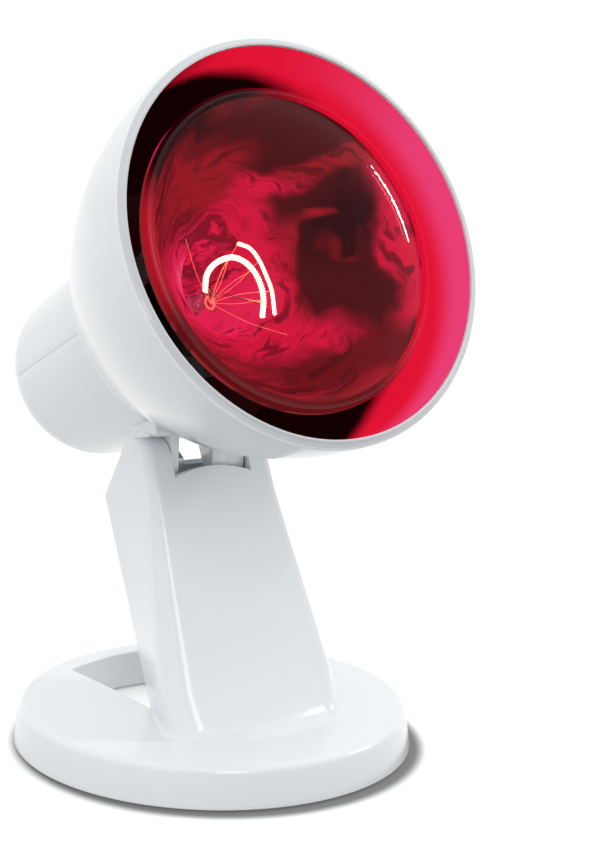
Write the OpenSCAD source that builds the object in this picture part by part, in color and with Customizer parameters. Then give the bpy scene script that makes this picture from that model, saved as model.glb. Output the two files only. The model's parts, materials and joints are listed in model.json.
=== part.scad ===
// Tabletop infrared heat lamp: round base, backward-leaning column, tilting bell shade.
// Millimetres. The origin is the middle of the base at the level of the table, +Z is up,
// the lamp shines towards -Y and the tilt axis runs along X.

/* [Base] */
// Radius of the base at the table
base_r = 78; // [76:1:84]
// Height of the top of the base
base_h = 16; // [14:0.5:18]
// Radius of the round back wall of the opening behind the column
opening_r = 65.5; // [64:0.5:67]
// Wall thickness of the white mouldings
wall = 2.5; // [2:0.1:2.8]
// Thickness of the steel ballast plate
ballast_t = 4; // [3:0.5:6]

/* [Column] */
// Half of the column's width at the top
column_half_w = 28.5; // [28:0.5:30]
// Half of the gap between the two ears that hold the head
ear_gap_half = 17.5; // [17:0.1:18]
// Height of the tilt axis
pivot_z = 108; // [106:0.5:110]
// Distance of the tilt axis behind the middle of the base
pivot_y = 18; // [17:0.5:19]
// Radius of the rounded ear tops
ear_r = 11; // [10.5:0.1:11.2]

/* [Head] */
// Angle of the light's axis above the horizontal, as the lamp stands
head_elevation = 23.45; // [20:0.05:26]
// Outer radius of the shade's rim
shade_r = 76.2; // [74:0.2:78]
// Depth of the shade from its rim to its back wall
shade_depth = 87; // [86.5:0.5:88]
// Wall thickness of the shade
shade_wall = 1.8; // [1.6:0.1:2]
// Distance from the rim to the rounded end of the housing
housing_end = 171; // [169:0.5:173]

/* [Lamp] */
// Radius of the reflector lamp's face
lamp_r = 60.6; // [59:0.2:61]
// Distance of the lamp's face edge behind the shade's rim
lamp_edge_t = 10; // [9:0.5:11]
// Radius of the curved filament
filament_r = 14; // [12:0.5:15]

/* [Hidden] */
$fn = 96;

white = [0.93, 0.94, 0.95];
steel = [0.72, 0.73, 0.75];
brass = [0.82, 0.66, 0.32];

// side view of the column, as [y, z]
pivot = [pivot_y, pivot_z];
rear_foot = [1.4, base_h];
rear_top = [pivot_y + 22, pivot_z - 16];
chamfer_top = [pivot_y + 10.3, pivot_z + 3.2];
front_top = [pivot_y - 13, pivot_z - 3];
front_foot = -44;
rear_lean = atan2(rear_top[0] - rear_foot[0], rear_top[1] - rear_foot[1]);
front_lean = atan2(front_top[0] - front_foot, front_top[1] - base_h);
foot_half_w = 34.5;
foot_corner_r = 8;
saddle_r = 10.4;
ear_wall = 3;
arch_rise = 3.4;

// base
floor_gap = 1;
top_round = 3;
side_draft = 2.2;
plate_z = 1.2;
plate_t = 2;
ballast_z = plate_z + plate_t + 0.2;
base_screw_places = [[62, 5], [62, 175], [62, 235], [62, 270], [62, 305]];
foot_places = [[64, 35], [64, 145], [64, 215], [64, 325]];
middle_foot = [0, -6.8];
inlet_angle = 45;
inlet_z = 8.3;

// column cover, measured up its slope and along the slope's outward normal
cover_gap = 0.2;
cover_screw_places = [[-21.6, 22], [21.6, 22], [-21.6, 68], [21.6, 68]];
boss_depth = 13;
block_z = 30;

// hinge, as distances from the middle along X
lug_outer = 16.8;
lug_t = 3.5;
lug_r = 8.5;
bolt_r = 2.5;
trunnion_r = 6;
trunnion_end = 23.2;
hub_inner = 8.5;
duct_inner = 2;
duct_x = 11;

// head, as distances t behind the rim's plane and heights over the light's axis
rim_centre = [0, -51.7, 201.1];
shade_curve = 0.0035;
drum_t = shade_depth + 0.05;
drum_drop = -6;
drum_side = 5.8;
drum_r_front = 41;
drum_r_back = 36;
drum_round = 13;
split_gap = 0.1;
housing_screw_places = [[-34, 101], [34, 101], [-30, 146], [30, 146]];
shade_screw_places = [[-35.5, 15.5], [35.5, 15.5], [-35.5, -27.5], [35.5, -27.5]];
holder_front = 114;
holder_back = 152;
holder_r = 20;
bracket_t = 1.2;
bracket_post_x = 27;
bracket_post_y = -12;

// lamp
mirror_apex = 60.2;
mirror_focus = 18.2;
neck_t = 54;
cap_t = 112;
cap_end = 136;
filament_t = 50;
filament_drop = -3;

// ---------- helpers ----------

// draws a [y, z] outline as a slab from x0 to x1
module along_x(x0, x1) translate([x0, 0, 0]) rotate([90, 0, 90]) linear_extrude(x1 - x0) children();

// a round bar along X on the tilt axis
module on_pivot(x0, x1, r) translate([x0, pivot_y, pivot_z]) rotate([0, 90, 0]) cylinder(h = x1 - x0, r = r);

// the column's rear slope: z runs up the slope and y out of it
module on_slope() translate([0, rear_foot[0], rear_foot[1]]) rotate([-rear_lean, 0, 0]) children();

// the head: z is the light's axis with the rim at 0, y is up and x stays x
module in_head() translate(rim_centre) rotate([90 - head_elevation, 0, 0]) children();

// a round bar in the head from t0 to t1 behind the rim
module rod_t(t0, t1, r, x = 0, y = 0) translate([x, y, -t1]) cylinder(h = t1 - t0, r = r);

// a revolved head part, given as [radius, distance behind the rim] points
module turned(points) rotate_extrude() polygon([for (p = points) [p[0], -p[1]]]);

// a moulding screw along +Z: domed head below, shank above
module screw(head_r, head_h, shank_r, length) {
    cylinder(h = head_h, r = head_r);
    translate([0, 0, head_h]) cylinder(h = length, r = shank_r);
}

function unit(v) = v / norm(v);

// a round tube swept along a route whose turns lie mostly across the axis called side
function ring(c, t, side, r, n) =
    let (u = unit(cross(t, side)), v = unit(cross(u, t)))
    [for (i = [0 : n - 1]) c + r * cos(360 * i / n) * u + r * sin(360 * i / n) * v];

module wire(route, r, side = [0, 1, 0], n = 8) {
    last = len(route) - 1;
    tangent = [for (i = [0 : last]) unit(route[min(i + 1, last)] - route[max(i - 1, 0)])];
    points = [for (i = [0 : last]) each ring(route[i], tangent[i], side, r, n)];
    sides = [for (i = [0 : last - 1], k = [0 : n - 1])
        [i * n + k, i * n + (k + 1) % n, (i + 1) * n + (k + 1) % n, (i + 1) * n + k]];
    ends = [[for (k = [n - 1 : -1 : 0]) k], [for (k = [0 : n - 1]) last * n + k]];
    polyhedron(points, concat(sides, ends), convexity = 8);
}

// a point of the head, given as [x, height, t], in the part's own frame
function head_point(p) =
    let (s = sin(head_elevation), c = cos(head_elevation))
    rim_centre + [p[0], c * p[2] + s * p[1], c * p[1] - s * p[2]];

// ---------- outlines ----------

// plan of the opening behind the column, grown outwards by g
module opening_plan(g) intersection() {
    circle(r = opening_r + g);
    polygon([[-28.4 - g, rear_foot[0] - g], [-29 - g, 26], [-32.8 - g, 70],
             [32.8 + g, 70], [29 + g, 26], [28.4 + g, rear_foot[0] - g]]);
}

// plan of the column's foot, drawn inwards by g
module foot_plan(g) {
    w = foot_half_w - foot_corner_r;
    for (x = [-w, w]) translate([x, -29.5]) circle(r = foot_corner_r - g, $fn = 32);
    polygon([[-28.4 + g, rear_foot[0]], [28.4 - g, rear_foot[0]], [w, -29.5], [-w, -29.5]]);
    for (a = [-1 : 0.25 : 1]) translate([w * a, front_foot + 6 + 4 * a * a]) circle(r = 6 - g, $fn = 24);
}

// the solid column between its foot and the slanted line that joins its two top edges
module column_solid(g, foot_z, drop) hull() {
    translate([0, 0, foot_z]) linear_extrude(1) foot_plan(g);
    along_x(-column_half_w + g, column_half_w - g) polygon([
        front_top + [g * 1.15, -drop], rear_top + [0, -drop],
        rear_top + [-0.5, -drop - 1], front_top + [g * 1.15 - 0.5, -drop - 1]]);
}

module ear_outline() {
    polygon([front_top, rear_top, chamfer_top, pivot, pivot + [-ear_r + 0.1, 1]]);
    translate(pivot) circle(r = ear_r);
}

module ear_cavity_outline() {
    polygon([front_top + [3.2, -14], rear_top + [3, -14], rear_top + [3, 1], chamfer_top + [3, 0],
             pivot, front_top + [3.2, 0]]);
    translate(pivot) circle(r = ear_r - wall);
}

function shade_radius(t) = shade_r - shade_curve * t * t;

// the housing drum: a cone with a rounded end, widened sideways by drum_side
module drum(inset) {
    r1 = drum_r_front - inset;
    r2 = drum_r_back - inset;
    rr = drum_round - inset;
    end = housing_end - inset;
    profile = concat([[0, drum_t], [r1, drum_t]],
        [for (a = [0 : 15 : 90]) [r2 - rr + rr * cos(a), end - rr + rr * sin(a)]], [[0, end]]);
    translate([0, drum_drop, 0]) {
        for (x = [-drum_side, drum_side]) translate([x, 0, 0]) turned(profile);
        translate([-drum_side, 0, 0]) rotate([90, 0, 90]) linear_extrude(2 * drum_side)
            polygon(concat([for (p = profile) [p[0], -p[1]]],
                           [for (i = [len(profile) - 1 : -1 : 0]) [-profile[i][0], -profile[i][1]]]));
    }
}

// ---------- stand ----------

module base_body() {
    rotate_extrude() polygon(concat(
        [[0, floor_gap], [base_r, floor_gap]],
        [for (a = [0 : 15 : 90]) [base_r - side_draft - top_round + top_round * cos(a),
                                  base_h - top_round + top_round * sin(a)]],
        [[0, base_h]]));
}

module base_cavity() difference() {
    rotate_extrude() polygon([[0, 0], [base_r - wall, 0], [base_r - side_draft - wall, base_h - wall],
                              [0, base_h - wall]]);
    linear_extrude(base_h) opening_plan(wall);
}

module place_round(places) for (p = places) rotate([0, 0, p[1]]) translate([p[0], 0, 0]) children();

// base and column front in one moulding, with the ears, the saddle and the screw bosses
module stand_shell() color(white) difference() {
    union() {
        difference() {
            union() {
                base_body();
                column_solid(0, base_h - 1, 0);
            }
            base_cavity();
            translate([0, 0, -1]) linear_extrude(base_h + 2) opening_plan(0);
            difference() {
                column_solid(wall, base_h - wall - 0.5, 5.6);
                translate([-60, rear_foot[0] - wall, 0]) cube([120, 60, base_h]);
            }
        }
        for (s = [-1, 1]) along_x(s > 0 ? ear_gap_half : -column_half_w,
                                  s > 0 ? column_half_w : -ear_gap_half) ear_outline();
        arch();
        place_round(base_screw_places) translate([0, 0, ballast_z]) cylinder(h = base_h - ballast_z - 1, r = 3.4);
        on_slope() for (p = cover_screw_places) translate([p[0], -wall - 0.2, p[1]]) {
            rotate([90, 0, 0]) cylinder(h = boss_depth, r = 3.4);
            translate([p[0] > 0 ? 0 : -5.6, -boss_depth, -1.5]) cube([5.6, boss_depth, 3]);
        }
    }
    // room between the ears for the head's lugs
    on_pivot(-ear_gap_half, ear_gap_half, saddle_r);
    // hollow ears
    for (s = [-1, 1]) along_x(s > 0 ? ear_gap_half + ear_wall : -column_half_w + wall,
                              s > 0 ? column_half_w - wall : -ear_gap_half - ear_wall) ear_cavity_outline();
    // open back, closed by the cover
    along_x(-column_half_w + wall, column_half_w - wall) polygon([
        rear_foot + [-3.2, 0.05], rear_foot + [4, 0.05], rear_top + [6, 0], chamfer_top + [4, 0.5],
        chamfer_top + [-0.6, 0], rear_top + [-3.4, -0.9]]);
    on_pivot(-ear_gap_half - ear_wall - 1, -ear_gap_half + 1, bolt_r + 0.1);
    on_pivot(ear_gap_half - 1, ear_gap_half + ear_wall + 1, trunnion_r + 0.06);
    place_round(base_screw_places) cylinder(h = base_h - wall - 1, r = 1.25);
    on_slope() for (p = cover_screw_places) translate([p[0], 1, p[1]]) rotate([90, 0, 0])
        cylinder(h = 14.5, r = 1.25);
    rotate([0, 0, inlet_angle]) translate([base_r - 12, 0, inlet_z]) rotate([0, 90, 0]) cylinder(h = 20, r = 4.05);
}

// the low arch of the front wall between the ears
module arch() {
    arch_r = (ear_gap_half * ear_gap_half + arch_rise * arch_rise) / (2 * arch_rise);
    translate([0, front_top[0], front_top[1]]) rotate([-front_lean, 0, 0]) intersection() {
        translate([0, wall, arch_rise - arch_r]) rotate([90, 0, 0]) cylinder(h = wall - 0.15, r = arch_r);
        translate([-ear_gap_half - 0.5, -1, -2]) cube([2 * ear_gap_half + 1, wall + 2, arch_rise + 3]);
    }
}

// sloping back of the column, with the angled top that closes the ears
module column_cover() color(white) {
    half = column_half_w - wall - cover_gap;
    lift = unit([rear_top[0] - rear_foot[0], rear_top[1] - rear_foot[1]]);
    inward = wall * [-lift[1], lift[0]];
    slant = unit([chamfer_top[0] - rear_top[0], chamfer_top[1] - rear_top[1]]);
    slant_in = wall * [-slant[1], slant[0]];
    bend = rear_top + [-wall * 1.02, -0.4];
    top = rear_top + slant * 15.4;
    ear_top = chamfer_top - slant * 0.9;
    difference() {
        union() {
            along_x(-half, half) polygon([rear_foot + 0.25 * lift, rear_top, bend,
                                          rear_foot + 0.25 * lift + inward]);
            along_x(-ear_gap_half + cover_gap, ear_gap_half - cover_gap)
                polygon([rear_top, top, top + slant_in, bend]);
            for (s = [-1, 1]) along_x(s > 0 ? ear_gap_half + ear_wall + cover_gap : -half,
                                      s > 0 ? half : -ear_gap_half - ear_wall - cover_gap)
                polygon([rear_top, ear_top, ear_top + slant_in, bend]);
            on_slope() translate([-13, -6, block_z - 2]) cube([26, 4, 20]);
        }
        on_slope() for (p = cover_screw_places) translate([p[0], 0, p[1]]) rotate([90, 0, 0]) {
            translate([0, 0, -1]) cylinder(h = 2.2, r = 2.9);
            cylinder(h = 6, r = 1.6);
        }
        on_slope() for (x = [-9, 9]) translate([x, -1, block_z + 8]) rotate([90, 0, 0]) cylinder(h = 8, r = 1.1);
    }
}

// flat plate that closes the underside of the base
module base_plate() color([0.25, 0.26, 0.28]) difference() {
    translate([0, 0, plate_z]) linear_extrude(plate_t) difference() {
        circle(r = base_r - wall - 0.9);
        opening_plan(wall + 0.3);
    }
    place_round(base_screw_places) {
        cylinder(h = base_h, r = 1.7);
        translate([0, 0, plate_z - 0.1]) cylinder(h = 1.1, r = 3.1);
    }
    place_round(foot_places) cylinder(h = plate_z + 0.6, r = 6.6);
}

module ballast_plate() color(steel) translate([0, 0, ballast_z]) linear_extrude(ballast_t) difference() {
    intersection() {
        circle(r = base_r - wall - side_draft - 1.5);
        translate([-100, -100]) square([200, 97]);
    }
    place_round(base_screw_places) circle(r = 3.8);
}

module rubber_feet() color([0.12, 0.12, 0.13]) {
    place_round(foot_places) cylinder(h = plate_z + 0.6, r = 6.5);
    translate(middle_foot) {
        cylinder(h = floor_gap, r = 8);
        cylinder(h = plate_z, r = 5);
    }
}

module base_screws() color(steel) place_round(base_screw_places) translate([0, 0, plate_z]) screw(2.9, 1, 1.22, 10);

module cover_screws() color(steel) on_slope() for (p = cover_screw_places)
    translate([p[0], -0.3, p[1]]) rotate([90, 0, 0]) screw(2.7, 0.9, 1.22, 12);

// rubber bush that lines the cord's way through the base wall
module cord_inlet_bush() color([0.85, 0.86, 0.87]) rotate([0, 0, inlet_angle])
    translate([base_r - 6.1, 0, inlet_z]) rotate([0, 90, 0]) difference() {
        union() {
            cylinder(h = 6.5, r = 3.95);
            cylinder(h = 1.3, r = 4.9);
            translate([0, 0, 5.75]) cylinder(h = 0.75, r = 4.9);
        }
        translate([0, 0, -1]) cylinder(h = 9, r = 3.2);
    }

module terminal_block() color([0.88, 0.86, 0.78]) on_slope() difference() {
    translate([-11, -16, block_z]) cube([22, 9.9, 16]);
    for (x = [-6, 6]) {
        translate([x, -11, block_z - 1]) cylinder(h = 18, r = 1.7);
        for (z = [4, 12]) translate([x, -12.5, block_z + z]) rotate([90, 0, 0]) cylinder(h = 5, r = 1.9);
    }
}

module terminal_screws() color(brass) on_slope()
    for (x = [-6, 6], z = [4, 12]) translate([x, -12.9, block_z + z]) rotate([90, 0, 0]) cylinder(h = 2.6, r = 1.8);

// two heat-proof wires from the terminal block up through the hollow right ear
module stand_leads() color([0.9, 0.88, 0.82]) {
    start = [0, rear_foot[0], rear_foot[1]] + (block_z + 14) * [0, sin(rear_lean), cos(rear_lean)]
            - 11 * [0, cos(rear_lean), -sin(rear_lean)];
    for (s = [-1, 1]) wire(concat(
        [start + [6 * s, 0, 0], start + [6 * s, 3, 7], [8 + 4 * s, 12, 74], [15 + 2.2 * s, 15.5 + 0.8 * s, 84],
         [21 + 0.8 * s, 17 + 1.6 * s, 91], [24.7, pivot_y + 1.5 * s, 99], [24.7, pivot_y + 1.5 * s, pivot_z - 2.3]],
        [for (a = [25 : 32.5 : 90]) [24.7 - 2.1 + 2.1 * cos(a), pivot_y + 1.5 * s, pivot_z - 2.1 + 2.1 * sin(a)]],
        [[19.6, pivot_y + 1.5 * s, pivot_z]]), 1.1);
}

// ---------- hinge ----------

module pivot_bolt() color(steel) {
    on_pivot(-ear_gap_half - ear_wall - 2.6, -ear_gap_half - ear_wall, 4.6);
    on_pivot(-ear_gap_half - ear_wall - 1, -7, bolt_r);
}

module pivot_washer() color(steel) difference() {
    on_pivot(-13.15, -12.3, 5);
    on_pivot(-14, -12, bolt_r + 0.05);
}

module pivot_nut() color(steel) difference() {
    translate([-12.3, pivot_y, pivot_z]) rotate([0, 90, 0]) cylinder(h = 4, r = 4.6, $fn = 6);
    on_pivot(-13, -8, bolt_r + 0.02);
}

module friction_disc_left() color([0.35, 0.3, 0.25]) difference() {
    on_pivot(-17.45, -16.95, 8);
    on_pivot(-18, -16, bolt_r + 0.15);
}

module friction_disc_right() color([0.35, 0.3, 0.25]) difference() {
    on_pivot(16.95, 17.45, 8.3);
    on_pivot(16, 18, trunnion_r + 0.2);
}

module trunnion_clip() color(steel) difference() {
    on_pivot(ear_gap_half + ear_wall + 0.2, ear_gap_half + ear_wall + 1, 7.8);
    on_pivot(ear_gap_half, ear_gap_half + 6, trunnion_r - 0.7);
}

// ---------- head ----------

module shade() color(white) in_head() difference() {
    inner_r = shade_r - 3.4;
    turned(concat(
        [[inner_r, 0], [inner_r + 1, 0], [inner_r + 1.2, 0.9], [shade_r - 0.4, 1.9]],
        [for (t = [4 : 8.3 : shade_depth]) [shade_radius(t), t]],
        [[shade_radius(shade_depth), shade_depth], [28.5, shade_depth], [28.5, shade_depth - shade_wall]],
        [for (t = [shade_depth - shade_wall : -8.2 : 8]) [shade_radius(t) - shade_wall, t]],
        [[shade_radius(3) - shade_wall, 3], [inner_r, 1.4]]));
    for (p = shade_screw_places) rod_t(shade_depth - 4, shade_depth + 1, 1.7, p[0], p[1]);
}

module vent_slots(side) for (x = [-18 : 6 : 18])
    translate([x - 1.3, side > 0 ? drum_drop + 4 : drum_drop - 22, -housing_end - 1]) cube([2.6, 18, 5]);

module housing_screw_post(p, side)
    translate([p[0], drum_drop, -p[1]]) rotate([side > 0 ? -90 : 90, 0, 0]) cylinder(h = 40, r = 3.4);

module housing_upper() color(white) in_head() difference() {
    union() {
        difference() {
            drum(0);
            translate([0, 0, 1]) drum(wall);
        }
        intersection() {
            drum(0.5);
            union() {
                for (p = housing_screw_places) housing_screw_post(p, 1);
                for (p = shade_screw_places) if (p[1] > drum_drop) rod_t(drum_t, drum_t + 11, 3.4, p[0], p[1]);
            }
        }
    }
    translate([-60, drum_drop + split_gap - 100, -200]) cube([120, 100, 130]);
    for (p = housing_screw_places) translate([p[0], drum_drop, -p[1]]) rotate([-90, 0, 0]) cylinder(h = 13, r = 1.25);
    for (p = shade_screw_places) rod_t(drum_t - 1, drum_t + 9.5, 1.25, p[0], p[1]);
    vent_slots(1);
}

// one lug's outline in side view: round the tilt axis, rising straight to the housing
module lug_outline() {
    translate(pivot) circle(r = lug_r);
    translate([pivot_y - lug_r, pivot_z]) square([2 * lug_r, 22]);
}

module housing_lower() color(white) difference() {
    union() {
        in_head() difference() {
            union() {
                difference() {
                    drum(0);
                    translate([0, 0, 1]) drum(wall);
                }
                intersection() {
                    drum(0.5);
                    union() {
                        for (p = housing_screw_places) housing_screw_post(p, -1);
                        for (p = shade_screw_places) if (p[1] < drum_drop)
                            rod_t(drum_t, drum_t + 11, 3.4, p[0], p[1]);
                        for (x = [-bracket_post_x, bracket_post_x])
                            rod_t(holder_back + bracket_t + 0.1, housing_end, 3.6, x, bracket_post_y);
                    }
                }
            }
            translate([-60, drum_drop - split_gap, -200]) cube([120, 100, 130]);
            vent_slots(-1);
        }
        // plinth, lugs, hub and wire duct under the housing
        difference() {
            union() {
                along_x(-column_half_w - 0.6, column_half_w + 0.6) plinth_outline();
                along_x(-lug_outer, -lug_outer + lug_t) lug_outline();
                along_x(hub_inner, lug_outer) lug_outline();
                along_x(duct_inner, hub_inner) polygon([
                    pivot + [-lug_r, -4.5], pivot + [-2.4, -3], pivot + [5, 11], pivot + [5, 22],
                    pivot + [-lug_r, 22]]);
            }
            in_head() translate([-100, -100, -drum_t]) cube([200, 200, 100]);
            in_head() translate([0, 0, 1]) drum(wall);
        }
        on_pivot(lug_outer - 1, trunnion_end, trunnion_r);
    }
    on_pivot(-lug_outer - 1, -lug_outer + lug_t + 1, bolt_r + 0.06);
    on_pivot(duct_x - 2.6, trunnion_end + 1, 3.6);
    translate([duct_x, pivot_y, pivot_z]) cylinder(h = 26, r = 3.2);
    // groove for the clip
    difference() {
        on_pivot(ear_gap_half + ear_wall + 0.1, ear_gap_half + ear_wall + 1.1, trunnion_r + 1);
        on_pivot(ear_gap_half, trunnion_end, trunnion_r - 0.75);
    }
    // moulding dimple in the front of the hub
    translate([9, pivot_y - lug_r - 1, pivot_z - 0.5]) rotate([-90, 0, 0]) cylinder(h = 2.6, r = 0.7);
    in_head() {
        for (p = housing_screw_places) translate([p[0], drum_drop + 1, -p[1]]) rotate([90, 0, 0]) {
            cylinder(h = 60, r = 1.7);
            translate([0, 0, 13]) cylinder(h = 60, r = 2.9);
        }
        for (p = shade_screw_places) rod_t(drum_t - 1, drum_t + 9.5, 1.25, p[0], p[1]);
        for (x = [-bracket_post_x, bracket_post_x]) rod_t(holder_back, holder_back + 12, 1.25, x, bracket_post_y);
    }
}

module plinth_outline() polygon([
    pivot + [-lug_r, 12.4], pivot + [12.5, 12.4], pivot + [14, 14], pivot + [14, 17.5], pivot + [-lug_r, 22]]);

module housing_screws() color(steel) in_head() for (p = housing_screw_places)
    translate([p[0], drum_drop - 14.3, -p[1]]) rotate([-90, 0, 0]) screw(2.7, 2, 1.22, 22);

module shade_screws() color(steel) in_head() for (p = shade_screw_places)
    translate([p[0], p[1], -shade_depth + shade_wall + 1.7]) rotate([180, 0, 0]) screw(3.1, 1.6, 1.22, 10);

// ceramic lamp holder with a round pocket for the thread sleeve
module lamp_holder() color([0.95, 0.94, 0.9]) in_head() difference() {
    turned([[0, holder_front], [holder_r, holder_front], [holder_r + 1, holder_front + 1.2],
            [holder_r + 1, holder_front + 12], [holder_r - 1.5, holder_front + 14],
            [holder_r - 1.5, holder_back - 1.5], [holder_r - 3, holder_back], [0, holder_back]]);
    rod_t(holder_front - 1, 143, 14.6);
    for (x = [-8, 8]) translate([x, -12, -holder_back + 6]) rotate([90, 0, 0]) cylinder(h = 10, r = 2.1);
    for (x = [-10, 10]) rod_t(holder_back - 5, holder_back + 1, 1.3, x, 8);
}

module holder_thread_sleeve() color(brass) in_head() difference() {
    rod_t(holder_front + 2, 138, 14.5);
    rod_t(holder_front + 1, 139, 13.7);
}

module holder_centre_contact() color(brass) in_head() {
    translate([-9, -2.5, -142.9]) cube([18, 5, 0.6]);
    rod_t(140.9, 142.4, 2.6);
}

module holder_terminal_screws() color(brass) in_head() for (x = [-8, 8])
    translate([x, -12.2, -holder_back + 6]) rotate([90, 0, 0]) {
        cylinder(h = 6, r = 2);
        translate([0, 0, 6]) cylinder(h = 1.5, r = 3);
    }

module holder_bracket() color(steel) in_head() difference() {
    translate([-32, bracket_post_y - 5.5, -holder_back - bracket_t]) cube([64, 26, bracket_t]);
    for (x = [-bracket_post_x, bracket_post_x]) rod_t(holder_back - 1, holder_back + 3, 1.7, x, bracket_post_y);
    for (x = [-10, 10]) rod_t(holder_back - 1, holder_back + 3, 1.5, x, 8);
}

module bracket_screws() color(steel) in_head() {
    for (x = [-bracket_post_x, bracket_post_x]) {
        rod_t(holder_back, holder_back + 10, 1.22, x, bracket_post_y);
        rod_t(holder_back - 1.9, holder_back, 2.8, x, bracket_post_y);
    }
    for (x = [-10, 10]) {
        rod_t(holder_back - 4.5, holder_back + bracket_t, 1.25, x, 8);
        rod_t(holder_back + bracket_t, holder_back + bracket_t + 1.8, 2.6, x, 8);
    }
}

// the wires' second length, from the hollow trunnion up the duct to the holder's terminals
module head_leads() color([0.9, 0.88, 0.82]) for (s = [-1, 1]) wire(concat(
    [[19.3, pivot_y + 1.5 * s, pivot_z], [duct_x + 3.2, pivot_y + 1.5 * s, pivot_z]],
    [for (a = [75 : -25 : 0]) [duct_x + 3.2 - 3.2 * cos(a), pivot_y + 1.5 * s, pivot_z + 3.2 - 3.2 * sin(a)]],
    [[duct_x, pivot_y + 1.5 * s, pivot_z + 11], [duct_x, pivot_y + 1.5 * s, pivot_z + 16],
     head_point([duct_x + s, -39.5, 99 + 2 * s]), head_point([duct_x + 1.6 * s, -38, 104 + 2 * s]), head_point([10 + 2.5 * s, -36, 112]),
     head_point([5 + 5 * s, -31, 134]), head_point([8 * s, -25.5, 143.4]),
     head_point([8 * s, -20.2, holder_back - 6])]), 1.1, [0.2, 1, 0]);

// ---------- lamp ----------

function mirror_radius(t) = sqrt(4 * mirror_focus * (mirror_apex - t));

// faintly domed red glass face
module lamp_lens() color([0.75, 0.02, 0.05]) in_head() turned(concat(
    [for (i = [0 : 8]) let (r = (lamp_r - 2) * i / 8) [r, lamp_edge_t - 5.6 + 4.4 * pow(i / 8, 2)]],
    [[lamp_r - 0.5, lamp_edge_t - 0.4], [lamp_r, lamp_edge_t + 0.6], [lamp_r, lamp_edge_t + 2]],
    [for (i = [8 : -1 : 0]) let (r = (lamp_r - 4) * i / 8) [r, lamp_edge_t - 2.8 + 4.6 * pow(i / 8, 2)]]));

// mirrored glass bowl and neck
module lamp_reflector() color([0.8, 0.8, 0.82]) in_head() turned(concat(
    [[lamp_r, lamp_edge_t + 2.05], [lamp_r, lamp_edge_t + 4]],
    [for (t = [lamp_edge_t + 7 : 5.5 : neck_t]) [mirror_radius(t) + 2.2, t]],
    [[21.5, neck_t + 4], [19, 76], [17, 100], [13.6, cap_t + 1], [11.4, cap_t + 2.4], [11.4, cap_t],
     [15, 99], [17, 76], [19, neck_t + 4]],
    [for (t = [neck_t - 1 : -5.5 : lamp_edge_t + 5]) [mirror_radius(t), t]],
    [[lamp_r - 3.4, lamp_edge_t + 2.05]]));

// screw cap with rounded threads
module lamp_cap() color(brass) in_head() difference() {
    turned(concat(
        [[0, cap_t + 1.2], [14.2, cap_t + 1.2], [14.2, cap_t + 3]],
        [for (i = [0 : 30]) [12.7 + 0.5 * cos(i * 60), cap_t + 4.4 + i * 0.58]],
        [[8, cap_end], [0, cap_end]]));
    turned([[0, cap_t + 1], [13.8, cap_t + 1], [13.8, cap_t + 2.6], [11.6, cap_t + 4],
            [11.6, cap_end - 3.4], [7.4, cap_end - 0.6], [7.4, cap_end + 1], [0, cap_end + 1]]);
}

module lamp_cap_insulator() color([0.08, 0.05, 0.1]) in_head() difference() {
    turned([[0, cap_end - 3.2], [7.3, cap_end - 1.6], [7.3, cap_end + 0.4], [5.2, cap_end + 3], [0, cap_end + 3]]);
    rod_t(cap_end - 4, cap_end + 4, 2);
}

module lamp_cap_contact() color(steel) in_head() {
    rod_t(cap_end - 2, cap_end + 3.3, 1.9);
    turned([[0, cap_end + 3.05], [4.6, cap_end + 3.05], [4, cap_end + 4], [0, cap_end + 4.4]]);
}

// glass stem that carries the lead wires and the supports
module lamp_stem() color([0.8, 0.85, 0.85]) in_head() turned([
    [0, 68], [2.6, 68], [3.2, 70], [3.2, 76], [4.4, 84], [4.4, 104], [10.6, cap_t - 0.4], [0, cap_t - 0.4]]);

function filament_point(a) = [filament_r * cos(a), filament_drop + filament_r * sin(a), filament_t];

module lamp_lead_wires() color(steel) for (s = [-1, 1]) wire([
    head_point([1.2 * s, 0, 67.9]), head_point([3.4 * s, -1.5, 64]), head_point([filament_r * s, -8.5, 54]),
    head_point(filament_point(90 - 125 * s) + [0, 0, 0.9])], 0.5, [0, 0.4, 1]);

module lamp_filament_supports() color(steel) for (a = [20, 65, 115, 160]) wire([
    head_point([1.4 * cos(a), 1.4 * sin(a), 67.9]), head_point([5 * cos(a), 4 * sin(a), 62]),
    head_point(filament_point(a) + [0, 0, 1.0])], 0.3, [0.1, 0.4, 1], 6);

module lamp_filament() color([1, 0.85, 0.5]) wire(
    [for (a = [-35 : 12.5 : 215]) head_point(filament_point(a))], 0.8, [0, -0.92, 0.4]);

stand_shell();
column_cover();
base_plate();
ballast_plate();
rubber_feet();
base_screws();
cover_screws();
cord_inlet_bush();
terminal_block();
terminal_screws();
stand_leads();
pivot_bolt();
pivot_washer();
pivot_nut();
friction_disc_left();
friction_disc_right();
trunnion_clip();
shade();
housing_upper();
housing_lower();
housing_screws();
shade_screws();
lamp_holder();
holder_thread_sleeve();
holder_centre_contact();
holder_terminal_screws();
holder_bracket();
bracket_screws();
head_leads();
lamp_lens();
lamp_reflector();
lamp_cap();
lamp_cap_insulator();
lamp_cap_contact();
lamp_stem();
lamp_lead_wires();
lamp_filament_supports();
lamp_filament();
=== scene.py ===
import json
import math

import bmesh
import bpy
import numpy as np
from mathutils import Matrix, Vector


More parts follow.
